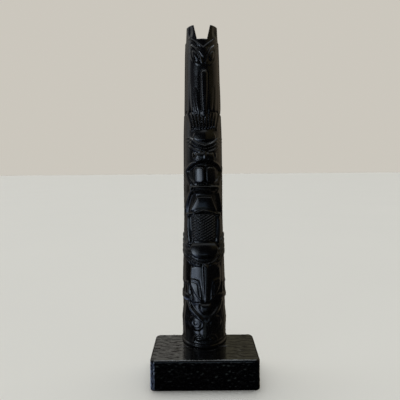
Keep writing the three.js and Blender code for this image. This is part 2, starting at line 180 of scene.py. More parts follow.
poleForm = {
    "headTop": 264.0,  # millimetres, above the pole's foot
    "earTop": (poleHigh[2] - poleLow[2]) / mm,
    "footHalfWidth": 19.5,
    "taper": 0.0187,  # half width lost for each millimetre of height
    "depthRatio": 1.1,  # the oval skin's depth over its half width
    "widestY": 18.6,
    "backY": poleHigh[1] / mm,
    "backCorner": 2.2,
    "footFlare": 0.7,
    # how far the figures stand proud of the plain taper: height, in front, at the sides
    "girth": [
        (2, 0.9, -0.05), (9, 1, -0.05), (20, 1, 0.55), (29, 0.8, -0.25), (37.2, 0.3, 0.1), (38, 1.3, 0.7),
        (43, 1.2, 0.7), (44.2, 1.2, -0.1), (50.6, 1.1, -0.1), (52, 1, 0.5), (70, 0.4, 0.3), (79, 1.8, 0.1),
        (87, 1.3, 0.1), (88.4, 0.2, 0), (108, 0.2, -0.1), (131, 0.2, 0.4), (138, 1.3, 0.6),
        (176, 1.5, 1.1), (186, 0.5, 1.1), (199, 0.7, 0.9), (200, 1.2, 0.6), (232, 0.8, 0.7),
        (252, 1.3, 0.7), (264, 0.8, 0.5),
    ],
    # height, and how far the carving's middle line stands to the right there
    "turned": [
        (0, 0.6), (36, 0.8), (42, 1.6), (68, 1.6), (74, 0.5), (88, 0), (117, 0), (136, 1.6), (244, 1.6),
        (262, 0.9),
    ],
    "fillet": 0.22,  # where carved forms meet
    "ear": (5.3, 9.2, 22.4, 20.4),  # u of the inner edge, low and high, and of the outer edge
    "earThick": 6.2,
    "earRound": 1.0,
    "earEdge": 0.8,  # how far the ears' upright edges are rounded off
    "topRound": 0.8,
    "backLine": 12.2,  # half length of the line behind the ears that the back draws in to
    "skinRadius": 18.0,  # u is this radius times the angle round the front
    "fineColumns": 0.26,  # column spacing in front, and beyond fineWidth at the sides
    "sideColumns": 0.62,
    "fineWidth": 11.6,
    "cornerColumns": 6,
    "backColumns": 10,
    "footRows": (0, 0.35, 0.9, 1.4),
    "rowStep": 0.58,
    "fineRowStep": 0.27,  # over the beaver's tail
    "fineRows": (88.5, 114.5),
    "evenRowsTop": 258.0,  # the rows above are spread evenly up to the head
}


# The point at u and z, raised by h square to an oval skin: x and y follow the sine and cosine of u
# over the skin's radius, and the girth is added in front by cosine squared, at the sides by sine squared.
def onSkin(u, z, h):
    f = poleForm
    angle = np.clip(u / f["skinRadius"], -np.pi / 2, np.pi / 2)
    halfX = f["footHalfWidth"] - f["taper"] * z
    halfY = halfX * f["depthRatio"]
    outX, outY = np.sin(angle) / halfX, -np.cos(angle) / halfY
    size = np.hypot(outX, outY)
    level, front, side = np.array(f["girth"]).T
    raised = h + np.interp(z, level, front) * np.cos(angle) ** 2
    raised += np.interp(z, level, side) * np.sin(angle) ** 2
    x = halfX * np.sin(angle) + outX / size * raised
    y = f["widestY"] - halfY * np.cos(angle) + outY / size * raised
    return x, y


# The columns round the pole: u across the front, then the back from right to left, where x is a
# share of the flat's half width plus an offset round the corner. Both edges of an ear are doubled.
def poleColumns():
    f = poleForm
    quarter = f["skinRadius"] * np.pi / 2
    inner, _, outer, _ = f["ear"]
    fine = np.arange(0, f["fineWidth"], f["fineColumns"])
    side = np.linspace(f["fineWidth"], quarter, int((quarter - f["fineWidth"]) / f["sideColumns"]) + 1)
    half = np.concatenate([fine, side])
    for edge in (inner, outer):
        half = half[np.abs(half - edge) > 0.3]
        half = np.sort(np.concatenate([half, [edge - 0.06, edge + 0.06]]))
    u = np.concatenate([-half[:0:-1], half])
    r, corners, flats = f["backCorner"], f["cornerColumns"], f["backColumns"]
    turn = np.radians(np.linspace(0, 90, corners))
    rightX, rightY = r * np.cos(turn), f["backY"] - r + r * np.sin(turn)
    share = np.concatenate([np.ones(corners), np.linspace(1, -1, flats + 2)[1:-1], -np.ones(corners)])
    offset = np.concatenate([rightX, np.zeros(flats), -rightX[::-1]])
    y = np.concatenate([rightY, np.full(flats, f["backY"]), rightY[::-1]])
    return u, share, offset, y


# Rows up the wall, then over the top: for each column a path of height z and distance d backwards.
# An ear's path climbs to its tip, crosses its thickness and comes down behind; the others turn in
# at the head along a quarter circle.
def polePaths(isEar):
    f = poleForm
    head, top, thick, r, q = (f[key] for key in ("headTop", "earTop", "earThick", "earRound", "topRound"))
    fineLow, fineHigh = f["fineRows"]
    wall = np.concatenate([
        f["footRows"],
        np.arange(2, fineLow, f["rowStep"]),
        np.arange(fineLow, fineHigh, f["fineRowStep"]),
        np.arange(fineHigh, f["evenRowsTop"] - 0.2, f["rowStep"]),
        np.linspace(f["evenRowsTop"], head - q, 12, endpoint=False),
    ])
    bend = np.radians(np.linspace(0, 90, 5))
    ear = [(z, 0.0) for z in np.linspace(head - q, top - r, 34, endpoint=False)]
    ear += [(top - r + r * math.sin(b), r - r * math.cos(b)) for b in bend]
    ear += [(top, d) for d in np.linspace(r, thick - r, 5)[1:-1]]
    ear += [(top - r + r * math.cos(b), thick - r + r * math.sin(b)) for b in bend]
    ear += [(z, thick) for z in np.linspace(top - r, head, 9)[1:]]
    ear = np.array(ear)
    d = thick * np.linspace(0, 1, len(ear))
    z = head - q + np.sqrt(np.clip(q * q - np.clip(q - d, 0, None) ** 2, 0, None))
    same = np.ones(len(isEar))
    pathZ = np.concatenate([np.outer(wall, same), np.where(isEar, ear[:, :1], z[:, None])])
    pathD = np.concatenate([np.outer(wall * 0, same), np.where(isEar, ear[:, 1:], d[:, None])])
    return pathZ, pathD


# A smooth line through points (Catmull-Rom), as an array of places; two points give a straight one.
def smoothLine(points, count):
    p = np.array(points, float)
    if len(p) == 2:
        return p[0] + (p[1] - p[0]) * np.linspace(0, 1, count + 1)[:, None]
    p = np.concatenate([[2 * p[0] - p[1]], p, [2 * p[-1] - p[-2]]])
    t = np.linspace(0, len(p) - 3 - 1e-9, count + 1)
    k = t.astype(int)
    t = (t - k)[:, None]
    a, b, c, d = p[k], p[k + 1], p[k + 2], p[k + 3]
    square, cube = 2 * a - 5 * b + 4 * c - d, 3 * b - a - 3 * c + d
    return 0.5 * (2 * b + (c - a) * t + square * t * t + cube * t ** 3)


# The distance from each place to a line, with how far along the line its nearest point is.
def nearLine(u, z, points, count=24):
    line = smoothLine(points, count)
    best, along = np.full(u.shape, 1e9), np.zeros(u.shape)
    for k in range(count):
        (pu, pz), (qu, qz) = line[k], line[k + 1]
        du, dz = qu - pu, qz - pz
        t = np.clip(((u - pu) * du + (z - pz) * dz) / (du * du + dz * dz + 1e-12), 0, 1)
        away = np.hypot(u - pu - t * du, z - pz - t * dz)
        closer = away < best
        best = np.where(closer, away, best)
        along = np.where(closer, (k + t) / count, along)
    return best, along


# How far inside a closed line each place is, below 0 outside: the distance to the line, its sign
# from whether a ray towards greater u crosses the line an odd number of times.
def insideLine(u, z, points, count=40):
    away, _ = nearLine(u, z, points, count)
    line = smoothLine(points, count)
    crossed = np.zeros(u.shape, int)
    for (pu, pz), (qu, qz) in zip(line, np.roll(line, -1, axis=0)):
        crossed += ((pz < z) != (qz < z)) & (u < pu + (z - pz) / (qz - pz + 1e-12) * (qu - pu))
    return np.where(crossed % 2 == 1, away, -away)


# Sections of a carved ridge, over x, which is 0 on its middle line and 1 at its edge.
sections = {
    "round": lambda x: 1 - x * x,
    "shoulder": lambda x: 1 - 0.42 * np.clip(x - 0.45, 0, 0.4) - (np.clip(x - 0.85, 0, None) / 0.2) ** 2,
    "crest": lambda x: 1.06 - np.sqrt(x * x + 0.0036) * 1.06,
    "flat": lambda x: 1 - smooth(x, 0.5, 1.0) - np.clip(x - 1, 0, None) * 3,
}


# The wall of an oval over r: 1 inside, a soft step down from inner to 0 on the outline, and then
# a slope that goes on down outside.
def ovalWall(r, inner):
    return 1 - smooth(r, inner, 1.0) - np.clip(r - 1, 0, None) * 6


# How far a flat face lies below the round skin, on either side of the middle line: the face spans
# twice the angle half, and the drop is the foot's half width times 1 - cos(half) / cos(angle - half).
def flatDrop(side, half):
    angle = side / poleForm["skinRadius"]
    return poleForm["footHalfWidth"] * (1 - np.cos(half) / np.cos(np.clip(angle - half, -0.6, 0.6)))


nowhere = -9  # a height so low that raising the relief to it does nothing


# The relief of the whole pole: a height field over u and z that forms are pressed into. Forms are
# given on the right half and mirrored, because they are placed by their distance from the middle line.
class Relief:
    def __init__(self, u, z):
        level, shift = np.array(poleForm["turned"]).T
        self.u, self.z = u - np.interp(z, level, shift), z
        self.side = np.abs(self.u)
        self.height = np.zeros(u.shape)

    # The places between two heights and less than across from the middle line.
    def window(self, low, high, across):
        return (self.z > low) & (self.z < high) & (self.side < across)

    # The places round a line of points, out to a reach beyond them.
    def windowRound(self, points, reach):
        across, level = np.array(points, float).T
        return self.window(level.min() - reach, level.max() + reach, np.abs(across).max() + reach)

    def raiseTo(self, mask, field):
        self.height[mask] = fillet(self.height[mask], field, poleForm["fillet"])

    # Raises a face inside an outline, where deep is how far inside it each place is; outside it the
    # face falls by three times that.
    def raiseFace(self, mask, deep, field):
        self.raiseTo(mask, np.where(deep > -1.5, field + np.minimum(deep, 0) * 3, nowhere))

    # A ridge along a line: its height times the section of distance over half width. Both fall to a
    # share, ends, at the two ends of the line, and a groove as deep as foot is cut along its edge.
    def ridge(self, points, half, height, form="round", foot=0.12, ends=1.0):
        halves, heights = np.atleast_1d(half), np.atleast_1d(height)
        mask = self.windowRound(points, halves.max() * 2 + 1)
        away, along = nearLine(self.side[mask], self.z[mask], points)
        fade = 1 - (1 - ends) * (2 * along - 1) ** 6
        width = np.interp(along, np.linspace(0, 1, len(halves)), halves) * fade
        rise = np.interp(along, np.linspace(0, 1, len(heights)), heights) * fade
        x = away / width
        self.height[mask] -= foot * np.exp(-((x - 1.25) / 0.3) ** 2)
        self.raiseTo(mask, np.where(x < 2.2, rise * sections[form](x), nowhere))

    # A groove along a line, its section a bell curve of distance over half width.
    def groove(self, points, half, depth):
        mask = self.windowRound(points, 3)
        away, _ = nearLine(self.side[mask], self.z[mask], points)
        self.height[mask] -= depth * np.exp(-(away / half) ** 2)

    # How far out of an oval each place is: 0 in the middle and 1 on the outline. The oval is its
    # middle, half sizes and turn in degrees, and a higher power makes it squarer.
    def ovalAt(self, mask, oval, power):
        u, z, halfU, halfZ, turn = oval
        c, s = math.cos(math.radians(turn)), math.sin(math.radians(turn))
        x, y = self.side[mask] - u, self.z[mask] - z
        across, up = np.abs(c * x + s * y) / halfU, np.abs(c * y - s * x) / halfZ
        return (across ** power + up ** power) ** (1 / power)

    def ovalMask(self, oval):
        u, z, halfU, halfZ, _ = oval
        reach = max(halfU, halfZ) * 1.8 + 1
        return self.window(z - reach, z + reach, u + reach) & (self.side > u - reach)

    # A boss: a raised oval whose face falls by a share of its height, dome, from its middle to its
    # outline; a groove as deep as foot is cut round it.
    def boss(self, oval, height, power=2.4, dome=0.3, foot=0.15):
        mask = self.ovalMask(oval)
        r = self.ovalAt(mask, oval, power)
        self.height[mask] -= foot * np.exp(-((r - 1.15) / 0.13) ** 2)
        face = height * (ovalWall(r, 0.78) - dome * np.minimum(r, 1) ** 2)
        self.raiseTo(mask, np.where(r < 1.7, face, nowhere))

    # A dish: an oval hollow, its floor a bowl.
    def dish(self, oval, depth, edge):
        mask = self.ovalMask(oval)
        r = self.ovalAt(mask, oval, 2.2)
        self.height[mask] -= depth * (1 - smooth(r, 1 - edge * 2, 1.0)) * (1 - 0.25 * np.minimum(r, 1) ** 2)

    # How far inside a shape each place is: the shape is given by rows of height and half width about
    # a middle, and the nearest of its side, top and bottom counts.
    def inside(self, mask, rows, middle=0.0):
        level, half = np.array(sorted(rows), float).T
        z = self.z[mask]
        across = np.interp(z, level, half) - np.abs(self.side[mask] - middle)
        return np.minimum(across, np.minimum(z - level[0], level[-1] - z))

    # A plate that stands proud, with walls as wide as edge and a crown that rises to its middle. It
    # is flattened by a share of the foot's half width times 1 / cos(angle) - 1, which makes a plane.
    def plate(self, rows, height, edge, crown=0.0, foot=0.15, flatten=0.0):
        level, half = np.array(rows, float).T
        mask = self.window(level.min() - 2, level.max() + 2, half.max() + 2)
        deep = self.inside(mask, rows)
        self.height[mask] -= foot * np.exp(-((deep + 0.35) / 0.3) ** 2)
        angle = self.side[mask] / poleForm["skinRadius"]
        plane = poleForm["footHalfWidth"] * (1 / np.cos(angle) - 1)
        field = (height + flatten * plane) * smooth(deep, 0, edge) + crown * smooth(deep, 0, 5)
        self.raiseFace(mask, deep, field)

    # A sunk field, its walls as wide as edge. Its depth changes by lean for each millimetre towards
    # the middle line, from 16 to 8 away from it.
    def sink(self, rows, depth, edge, lean=0.0):
        level, half = np.array(rows, float).T
        mask = self.window(level.min(), level.max(), half.max() + 1)
        deep = depth + lean * np.clip(16 - self.side[mask], 0, 8)
        self.height[mask] -= deep * smooth(self.inside(mask, rows), 0, edge)

    # Rounds every form a little, as a mould does: each place takes half of its height from its
    # neighbours, once up the pole and three times round it.
    def soften(self):
        for axis, passes in ((0, 1), (1, 3)):
            for _ in range(passes):
                near = np.roll(self.height, 1, axis) + np.roll(self.height, -1, axis)
                self.height = 0.5 * self.height + 0.25 * near


# In the figures below, a ridge or groove is a line of places, its half width, and its height or
# depth; several of either are spread along the line. An oval is its middle, half sizes and turn. A
# face's rows are heights and half widths. All are in millimetres and degrees.

# The bird: hollow ears, a V brow, slanted eyes, a long bill, folded wings and a fanned tail.
birdForm = {
    "ear": (14.2, 271.4, 4.4, 7.2, -8),
    "cheek": ([(14, 253), (10.8, 245.2), (5.6, 241.2)], 0.9, (0.4, 0.4, 0.1)),
    "brow": ([(15.5, 266.0), (7.5, 261.0), (0, 255.6)], 0.9, 0.6),
    "bridge": [(257, 5.4), (253.4, 4.4), (248.4, 0.5)],
    "bridgeEdge": ([(6.2, 255.8), (3, 251.6), (0, 248.0)], 0.6, 0.75),
    "eyeRidge": ([(12.4, 258.6), (7.4, 254.6), (3.8, 248.6), (1.7, 242.6)], (1.2, 1.0, 0.8),
                 (1.5, 1.2, 0.6)),
    "eye": (8.7, 249.6, 5.2, 2.5, 58),
    "lowerLid": ([(13.4, 255), (12, 246.5), (6.8, 242.2), (2.6, 241.4)], 0.6, 0.35),
    "bill": ([(0, 233.0), (0, 197.4)], (3.1, 2.9, 2.3, 1.3), (2.8, 2.4, 1.8, 0.9)),
    "nostril": (1.6, 235.6, 1.2, 0.9, 0),
    # the feathers' u is that of the innermost and the outermost
    "wing": {"feathers": 4, "top": 229, "innerDrop": 9, "tip": 201.4, "topU": (8.6, 22.8),
             "tipU": (5.4, 20.6), "half": (2.2, 2.9, 2.6), "rise": (0.2, 0.5, 0.7)},
    "tailLine": ([(0, 200.2), (15, 200.2), (27, 200.6)], 0.7, 0.9),
    "fan": {"blades": 8, "top": 199.0, "bottom": 186.2, "outerUp": 1.2, "halfTop": 14.2, "halfBottom": 10.8,
            "half": (1.15, 0.95), "rise": (0.2, 1.6), "tipHalf": (1.0, 1.1), "tipRise": 1.75},
    "leg": ([(17.6, 200.2), (14.4, 193), (12.4, 185.4)], 0.9, 1.25),
}


def carveBird(r):
    f = birdForm
    r.dish(f["ear"], 0.8, edge=0.45)
    r.ridge(*f["cheek"])
    r.ridge(*f["brow"], foot=0.2)
    r.plate(f["bridge"], 0.5, edge=2.0, foot=0.05)
    r.ridge(*f["bridgeEdge"], foot=0.15)
    r.ridge(*f["eyeRidge"], form="crest", foot=0.3)
    r.boss(f["eye"], 0.6, power=2, dome=0.6, foot=0.25)
    r.ridge(*f["lowerLid"], foot=0.15)
    r.ridge(*f["bill"], form="shoulder", foot=0.3)
    r.boss(f["nostril"], 0.9, power=2, foot=0.2)
    wing = f["wing"]
    for share in np.linspace(0, 1, wing["feathers"]):
        topU, tipU = mix(*wing["topU"], share), mix(*wing["tipU"], share)
        top, tip = wing["top"] - wing["innerDrop"] * (1 - share) ** 1.4, wing["tip"]
        line = [(topU, top), (mix(topU, tipU, 0.35), (top + tip) / 2), (tipU, tip)]
        r.ridge(line, wing["half"], wing["rise"], foot=0.1, ends=0.6)
    r.groove(*f["tailLine"])
    fan = f["fan"]
    for k in range(fan["blades"] // 2):
        share = (2 * k + 1) / fan["blades"]
        low, lowU = fan["bottom"] + fan["outerUp"] * share * share, share * fan["halfBottom"]
        line = [(share * fan["halfTop"], fan["top"]), (lowU, low + 0.6)]
        r.ridge(line, fan["half"], fan["rise"], form="flat", foot=0.3)
        r.boss((lowU, low + 0.8, *fan["tipHalf"], 0), fan["tipRise"], power=2, foot=0)
    r.ridge(*f["leg"], foot=0.3)


# The beaver: banded brows, a broad nose, two big teeth, a stick in its paws, a scaled tail and toes.
beaverForm = {
    "mouth": [(157.2, 3), (155, 9.6), (152.4, 14.4), (149.6, 18.4), (146, 16.6), (142.4, 13.6),
              (139.6, 9.4), (137.8, 4)],
    "lap": [(131.2, 13), (126, 15.6), (119.4, 18), (112.6, 19.6)],
    "forehead": [(185.4, 8.4), (183, 10), (180, 11.4), (174.6, 11.4)],
    "foreheadRise": 1.3,
    "foreheadBow": (179.4, 0.03),  # from this height up, for each square millimetre
    "brows": [
        ([(12.6, 177.4), (6.4, 173.4), (0, 171.2)], 1.2, 1.9),
        ([(12.8, 174.4), (6.6, 170.4), (0, 168.4)], 0.9, 1.6),
        ([(13.8, 171), (8.4, 167.6), (3.6, 166)], 0.85, 1.1),
    ],
    "temples": [
        ([(25.5, 178.2), (12.6, 178.5)], 0.55, 0.6),
        ([(25.5, 175.2), (16, 175.4)], 0.4, 0.4),
    ],
    "muzzle": [(165.6, 6.0), (164.8, 7.6), (162, 9.4), (158.4, 8.6)],
    "nostril": (4.6, 163.0, 2.8, 1.9, -8),
    "noseRidge": ([(0, 166.2), (0, 160.4)], (0.9, 1.3, 1.2), (1.4, 2.1, 1.9)),
    "nostrilRim": ([(10.4, 164.2), (9.6, 160.8), (6.4, 158.8), (3.0, 159.6)], 0.8, 1.6),
    "tooth": (5.25, 146.4, 5.4, 7.9, 0),
    "toothRise": 3.1,
    "toothBow": 0.006,  # for each square millimetre from its middle
    "toothGap": ([(0, 138.5), (0, 154.3)], 0.35, 0.8),
    "upperLip": ([(20.5, 149.8), (12.6, 155.6), (6, 158), (0, 158.9)], 0.75, 0.9),
    "lowerLip": ([(20.5, 150), (16.4, 142.6), (12.6, 137.4)], 0.8, 0.9),
    "arm": ([(24.4, 153), (18.6, 144.4), (14.6, 138.4), (12.8, 133.8), (15.2, 128.6), (21.4, 114.4),
             (22.4, 107)], (0.7, 0.85, 0.85, 0.7), (0.7, 1.1, 1.1, 0.8)),
    "stick": ([(0, 136.2), (11.4, 136.0)], 0.8, 2.0),
    "fingers": ([(0, 132.9), (10.6, 132.7), (12.0, 130.6)], 0.65, 2.2),
    "paw": (12.6, 134.2, 1.5, 2.4, 10),
    "chest": [(127.4, 5.8), (121.2, 9), (114.6, 12.2)],
    "chestSide": ([(6.0, 127.4), (9.0, 121.2), (12.2, 114.8)], 0.5, (1.5, 2.0, 2.9)),
    "chestTop": ([(0, 127.5), (6, 127.3)], 0.45, 1.2),
    "chevron": ([(12.8, 112.6), (6, 114.6), (0, 116)], 1.2, 2.0),
    "shin": ([(14.6, 111), (14.6, 101), (13.4, 89.4)], (1.6, 2.0, 2.5), 2.2),
    "knee": (14.5, 111.7, 2.4, 2.5, 0),
    "tail": {"top": 113.6, "bottom": 89.6, "half": 11.2, "corner": 5.4, "rise": 1.4},
    "scales": {"pitch": 2.05, "cuts": ((30, 0.6), (-38, 0.14))},  # each set's slant and depth
    "toes": {"count": 4, "spacing": 4.6, "top": 93.6, "half": (1.2, 1.5, 1.4), "rise": (1.2, 1.8, 1.6)},
}


def carveBeaver(r):
    f = beaverForm
    r.sink(f["mouth"], 1.9, edge=0.9)
    r.sink(f["lap"], 2.2, edge=0.9, lean=-0.15)
    # the forehead: half flattened on each side, and bowed back towards its top
    mask = r.window(173, 187, 13)
    deep = r.inside(mask, f["forehead"])
    start, bow = f["foreheadBow"]
    face = f["foreheadRise"] * smooth(deep, 0, 1.6) - 0.5 * flatDrop(r.side[mask], 0.37)
    r.raiseFace(mask, deep, face - bow * np.clip(r.z[mask] - start, 0, None) ** 2)
    for brow in f["brows"]:
        r.ridge(*brow, foot=0.4)
    for temple in f["temples"]:
        r.ridge(*temple)
    r.plate(f["muzzle"], 1.1, edge=1.4, crown=0.4)
    r.boss(f["nostril"], 1.3, dome=0.6, foot=0.1)
    r.ridge(*f["noseRidge"], foot=0.2)
    r.ridge(*f["nostrilRim"], foot=0.25)
    # a tooth: a squarish boss, partly flattened and bowed back towards its ends
    mask = r.ovalMask(f["tooth"])
    away = r.ovalAt(mask, f["tooth"], 4)
    face = f["toothRise"] * ovalWall(away, 0.8) - 0.4 * flatDrop(r.side[mask], 0.72)
    face -= f["toothBow"] * (r.z[mask] - f["tooth"][1]) ** 2
    r.raiseTo(mask, np.where(away < 1.7, face, nowhere))
    r.groove(*f["toothGap"])
    r.ridge(*f["upperLip"], foot=0.2)
    r.ridge(*f["lowerLip"], foot=0.25)
    r.ridge(*f["arm"], foot=0.2)
    r.ridge(*f["stick"], foot=0.2)
    r.ridge(*f["fingers"], foot=0.35)
    r.boss(f["paw"], 2.0, dome=0.4)
    r.plate(f["chest"], 0.9, edge=0.8, crown=0.3, flatten=0.4)
    r.ridge(*f["chestSide"], foot=0)
    r.ridge(*f["chestTop"], foot=0)
    r.ridge(*f["chevron"], foot=0.35)
    r.ridge(*f["shin"], foot=0.35)
    r.boss(f["knee"], 2.7, dome=0.45, foot=0.3)
    # the tail: a plate whose lower corners are quarter circles
    tail = f["tail"]
    turn = np.radians(np.linspace(0, 80, 6))
    cornerZ = tail["bottom"] + tail["corner"] * (1 - np.sin(turn))
    cornerHalf = tail["half"] - tail["corner"] * (1 - np.cos(turn))
    rows = [(tail["top"], tail["half"] - 0.6), (tail["top"] - 4, tail["half"]), *zip(cornerZ, cornerHalf)]
    r.plate(rows, tail["rise"], edge=0.9, crown=0.5, foot=0.4)
    toes = f["toes"]
    for k in range(toes["count"]):
        top = toes["top"] - k * toes["spacing"]
        line = [(25.6, top + 0.6), (19.4, top - 3.6), (13, top - 8.2)]
        r.ridge(line, toes["half"], toes["rise"], foot=0.7)


# The scales on the beaver's tail: two sets of slanting grooves, one deep and one faint, each a
# cosine of the distance across them, that fade out towards the tail's rim.
def carveScales(r):
    tail, scales = beaverForm["tail"], beaverForm["scales"]
    mask = r.window(tail["bottom"], tail["top"], tail["half"])
    u, z = r.u[mask], r.z[mask]
    below = np.clip((tail["bottom"] + tail["corner"] - z) / tail["corner"], 0, 1)
    half = tail["half"] - tail["corner"] * (1 - np.sqrt(1 - below ** 2))
    deep = np.minimum(half - np.abs(u), np.minimum(tail["top"] - z, z - tail["bottom"]))
    inner = smooth(deep, 0.9, 1.5)
    for slant, depth in scales["cuts"]:
        turn = math.radians(slant)
        across = z * math.cos(turn) - u * math.sin(turn)
        r.height[mask] -= depth * inner * (0.5 - 0.5 * np.cos(2 * np.pi * across / scales["pitch"]))


# The hawk: a bowl-shaped forehead, a breast of two flat planes, folded wings and feet at the sides.
hawkForm = {
    "bowl": [(87.2, 10.6), (83, 12), (80.4, 11.4), (78, 9.8), (75.4, 6.8), (73, 3)],
    "brows": [
        ([(14.4, 82), (9, 76.4), (4.4, 74), (0, 73.2)], 0.95, 2.0),
        ([(15.6, 79), (9.8, 73.6), (5, 71.4), (0, 70.7)], 0.75, 1.4),
    ],
    "eye": (6.6, 69.6, 3.6, 1.0, 12),
    "lid": ([(12.4, 71.8), (8, 68.9), (2, 68.6)], 0.45, 0.8),
    "breast": [(67.8, 12.8), (60, 13.4), (52, 12.6), (45, 8.6), (39.4, 3.6)],
    "breastRise": 1.25,
    "ridge": ([(0, 68.2), (0, 39.4)], (2.4, 2.0, 1.4), (2.3, 2.1, 1.4)),
    "wing": [(5.4, 56.4), (9.4, 57.8), (12.6, 56.8), (13, 51.4), (9.8, 46.2), (6.4, 41.8), (3.2, 39.2),
             (3.8, 48), (5.4, 56.4)],
    "wingRise": 0.55,
    "wingLine": ([(11.6, 55.4), (7, 54.2), (5.6, 49), (4.6, 43)], 0.38, 0.75),
    "legs": {"u": (15.4, 18.6, 21.8), "top": 53.4, "bottom": 44.4, "half": (1.1, 1.3), "rise": (1.0, 1.4)},
    "foot": {"u": 17.6, "rows": [(44, 5.4), (38.6, 6.0)], "rise": 0.85, "lines": (15.6, 19.4)},
    "ledge": ([(0, 37.5), (27, 37.5)], 0.45, 0.5),
}


def carveHawk(r):
    f = hawkForm
    r.plate(f["bowl"], 1.5, edge=1.3, flatten=0.3)
    mask = r.window(73, 87.2, 12)
    r.height[mask] -= 0.02 * (r.z[mask] - 78.5) ** 2 * smooth(r.inside(mask, f["bowl"]), 0, 1.3)
    for brow in f["brows"]:
        r.ridge(*brow, foot=0.35)
    r.boss(f["eye"], 1.0, dome=0.4)
    r.ridge(*f["lid"], foot=0.1)
    # the breast: on each side the skin is flattened to a plane as wide as the breast is there
    mask = r.window(39.4, 68, 15)
    level, half = np.array(sorted(f["breast"]), float).T
    edge = np.interp(r.z[mask], level, half) / poleForm["skinRadius"]
    deep = r.inside(mask, f["breast"])
    r.raiseFace(mask, deep, (f["breastRise"] - flatDrop(r.side[mask], edge / 2)) * smooth(deep, 0, 0.7))
    r.ridge(*f["ridge"], form="flat", foot=0.2)
    # the folded wing stands up inside its closed outline
    mask = r.window(38, 59, 15)
    deep = insideLine(r.side[mask], r.z[mask], f["wing"])
    r.height[mask] -= 0.35 * np.exp(-((deep + 0.35) / 0.35) ** 2)
    r.height[mask] += f["wingRise"] * smooth(deep, -0.1, 0.8)
    r.groove(*f["wingLine"])
    legs = f["legs"]
    for u in legs["u"]:
        line = [(u + 0.8, legs["top"]), (u - 0.4, legs["bottom"])]
        r.ridge(line, legs["half"], legs["rise"], foot=0.35)
    foot = f["foot"]
    mask = r.window(37.6, 45, 26) & (r.side > 10)
    deep = r.inside(mask, foot["rows"], middle=foot["u"])
    r.raiseFace(mask, deep, foot["rise"] * smooth(deep, 0, 0.6))
    for u in foot["lines"]:
        r.groove([(u, 44.2), (u, 38.4)], 0.35, 0.35)
    r.groove(*f["ledge"])


# The bear: a rounded forehead boss, thick curled brows, big oval eyes and curled nostrils.
bearForm = {
    "hollow": [(36.6, 13), (32, 11), (28, 7.4), (24.6, 3.4)],
    "forehead": [(37.2, 5.2), (32.6, 5.2), (30.6, 4.2), (29.2, 3.0), (28, 1.2)],
    "brow": ([(14.6, 37), (12.2, 32.4), (8, 28), (3.4, 24.2), (1.0, 21.4)], (1.7, 1.8, 1.6, 1.1),
             (1.2, 1.3, 1.0, 0.6)),
    "browLine": ([(14.6, 33.4), (10.6, 27.6), (6.4, 24.4), (2.6, 20.6)], 0.4, 0.25),
    "eye": (7.3, 20.0, 6.3, 5.3, 16),
    "rings": ((0.92, 0.42), (0.5, 0.38), (0.12, 0.35)),  # each one's share of the eye's size, and height
    "nose": ([(0, 22.6), (0, 8.8)], (1.8, 2.6, 3.6), (0.3, 0.4, 0.6)),
    "nostrilRim": ([(9.2, 4.6), (8.4, 8.6), (5.0, 10.8), (1.8, 9.2)], 0.7, 0.8),
    "nostril": (4.9, 6.8, 2.2, 1.8, 0),
    "lip": ([(0, 3.8), (17, 4.3), (24, 5.4)], (0.8, 0.8, 0.5), (0.7, 0.7, 0.4)),
    "cheeks": [
        ([(17.6, 35.8), (19.2, 22), (17.2, 5.6)], 0.9, 0.7),
        ([(22.4, 36), (24.2, 24), (22.6, 12), (22.2, 6)], 1.0, 0.7),
    ],
}


def carveBear(r):
    f = bearForm
    r.sink(f["hollow"], 0.5, edge=1.4)
    r.plate(f["forehead"], 1.1, edge=2.2, crown=0.5)
    r.ridge(*f["brow"], foot=0.3)
    r.groove(*f["browLine"])
    r.boss(f["eye"], 0.3, power=2.2, dome=0.2, foot=0.25)
    # thin rings stand on the eye, each a bell curve of the distance from its own oval
    mask = r.ovalMask(f["eye"])
    u, z, halfU, halfZ, turn = f["eye"]
    for size, rise in f["rings"]:
        away = r.ovalAt(mask, (u + 0.3, z, halfU * size, halfZ * size, turn), 2.2)
        r.height[mask] += rise * np.exp(-((away - 1) * size / 0.075) ** 2)
    r.ridge(*f["nose"], foot=0.15)
    r.ridge(*f["nostrilRim"], foot=0.3)
    r.boss(f["nostril"], 0.7, dome=0.5, foot=0.1)
    r.ridge(*f["lip"], foot=0.25)
    for cheek in f["cheeks"]:
        r.ridge(*cheek, form="crest", foot=0.2)


# How far each place stands above the mean of its neighbours, 0 where it is level with them: worn
# crests are positive.
def edgesOf(height):
    spread = sum(np.roll(height, k, axis=a) for a in (0, 1) for k in (-2, -1, 1, 2)) / 8
    return np.clip((height - spread) * 4, -1, 1)


# Where each column's top row would end if it ran the ears' whole thickness back. The front, between
# the ears' outer edges, stops behind the ears, and the sides, the corners and the back draw in to
# a line there, in small steps that keep its places apart.
def lineBehindEars(topX, topY, isFront, columns):
    f = poleForm
    first, last = np.flatnonzero(isFront)[[0, -1]]
    corners, total = f["cornerColumns"], len(topX)
    edgeX, edgeY = topX[last], topY[last] + f["earThick"]
    toLine, corner = np.linspace(0, 1, columns - last)[1:], np.linspace(0, 1, corners)
    halfX = np.concatenate([edgeX - 0.25 * toLine, mix(edgeX - 0.25, f["backLine"], corner)])
    halfY = np.concatenate([edgeY + 0.3 * toLine, edgeY + 0.3 + 0.2 * corner])
    endX, endY = topX.copy(), topY + f["earThick"]
    right = slice(last + 1, columns + corners)
    flat = slice(columns + corners, total - corners)
    left = np.concatenate([np.arange(total - corners, total), np.arange(first)])
    endX[right], endY[right] = halfX, halfY
    endX[flat], endY[flat] = topX[flat] * 0.96, edgeY + 0.5
    endX[left], endY[left] = -halfX[::-1], halfY[::-1]
    return endX, endY


